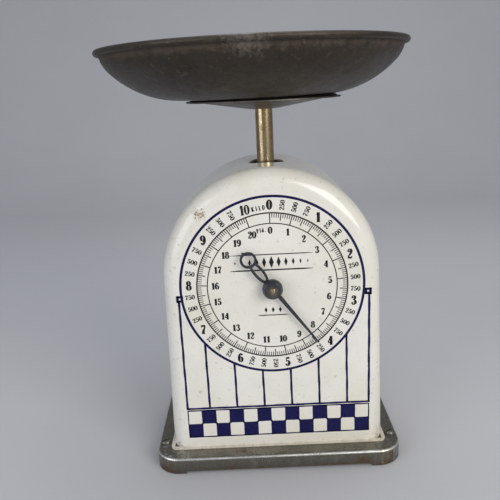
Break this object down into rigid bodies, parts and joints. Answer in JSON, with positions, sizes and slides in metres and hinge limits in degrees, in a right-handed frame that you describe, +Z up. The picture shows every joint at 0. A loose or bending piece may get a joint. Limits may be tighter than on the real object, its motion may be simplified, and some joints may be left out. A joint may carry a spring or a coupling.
{
  "type": "spring kitchen scale",
  "caption": "Upright spring kitchen scale with a loose round pan on a post, an arched enamel housing with a round dial and pointer, and a flat base plate on feet.",
  "frame": {"origin": "on the table, under the axis of the post", "axes": "+Z up, the dial faces -Y, +X to the right of a person who reads the dial"},
  "size_m": [0.2404, 0.2404, 0.335],
  "materials": {
    "nickelled_steel": "worn nickel plate",
    "white_enamel": "glossy stove enamel",
    "dark_steel": "dark worn patina",
    "grey_steel": "grey sheet steel",
    "plain_steel": "plain zinc grey",
    "spring_steel": "oiled",
    "cast_iron": "as cast, grey paint",
    "brass": "aged",
    "black_paint": "black lacquer",
    "rubber": "matt"
  },
  "bodies": {
    "base": {"base_plate": "nickelled_steel", "rubber_feet": "rubber", "foot_screws": "plain_steel", "foot_nuts": "plain_steel", "housing": "white_enamel", "housing_screws": "plain_steel", "housing_nuts": "plain_steel", "back_cover": "white_enamel", "back_cover_screws": "plain_steel", "back_cover_nuts": "plain_steel", "frame_left": "plain_steel", "frame_right": "plain_steel", "frame_screws": "plain_steel", "frame_nuts": "plain_steel", "spring_hanger": "plain_steel", "hanger_screws": "plain_steel", "front_bridge": "plain_steel", "rear_bridge": "plain_steel", "bridge_screws": "plain_steel", "front_bush": "brass", "rear_bush": "brass", "upper_pivot_rod": "plain_steel", "lower_pivot_rod": "plain_steel", "pivot_rod_clips": "plain_steel", "adjuster_bush": "brass"},
    "carriage": {"carrier": "cast_iron", "upper_rod": "plain_steel", "lower_rod": "plain_steel", "rod_clips": "plain_steel", "spring_left": "spring_steel", "spring_right": "spring_steel", "rack": "plain_steel", "rack_bracket": "plain_steel", "rack_screws": "plain_steel", "post": "brass", "post_pin": "plain_steel", "post_head_plug": "plain_steel", "tray": "grey_steel", "tray_screw": "plain_steel"},
    "pan": {"pan": "dark_steel", "pan_rim_wire": "dark_steel"},
    "dial_pointer": {"pointer": "black_paint", "pointer_hub": "black_paint", "pointer_arbor": "brass", "pinion": "brass"},
    "upper_link": {"upper_link_arms": "plain_steel", "upper_link_tube": "plain_steel"},
    "lower_link": {"lower_link_arms": "plain_steel", "lower_link_tube": "plain_steel"},
    "zero_adjuster": {"adjuster_shaft": "plain_steel", "adjuster_knob": "brass"}
  },
  "joints": [
    {"name": "carriage_slide", "type": "slide", "parent": "base", "child": "carriage", "axis": [0, 0, -1], "range_m": [-0.0131, 0.0186], "stiffness_N_per_m": 3094, "springref_m": -0.0031, "deforming": ["spring_left", "spring_right"]},
    {"name": "pan_lift", "type": "slide", "parent": "carriage", "child": "pan", "axis": [0, 0, 1], "range_m": [0, 0.1]},
    {"name": "pointer_turn", "type": "hinge", "parent": "base", "child": "dial_pointer", "pos_m": [0, -0.034, 0.1537], "axis": [0, 1, 0], "range_deg": [-143.2, 203.2]},
    {"name": "upper_link_swing", "type": "hinge", "parent": "base", "child": "upper_link", "pos_m": [0, 0.039, 0.18725], "axis": [1, 0, 0], "range_deg": [-14.1, 20]},
    {"name": "lower_link_swing", "type": "hinge", "parent": "base", "child": "lower_link", "pos_m": [0, 0.039, 0.06725], "axis": [1, 0, 0], "range_deg": [-14.1, 20]},
    {"name": "zero_adjuster_turn", "type": "hinge", "parent": "base", "child": "zero_adjuster", "pos_m": [0, 0.04, 0.222], "axis": [0, 1, 0], "range_deg": [-180, 180]}
  ],
  "couplings": [
    {"joint": "pointer_turn", "follows": "carriage_slide", "rad_per_m": 190.48},
    {"joint": "upper_link_swing", "follows": "carriage_slide", "rad_per_m": 18.667},
    {"joint": "lower_link_swing", "follows": "carriage_slide", "rad_per_m": 18.667}
  ]
}
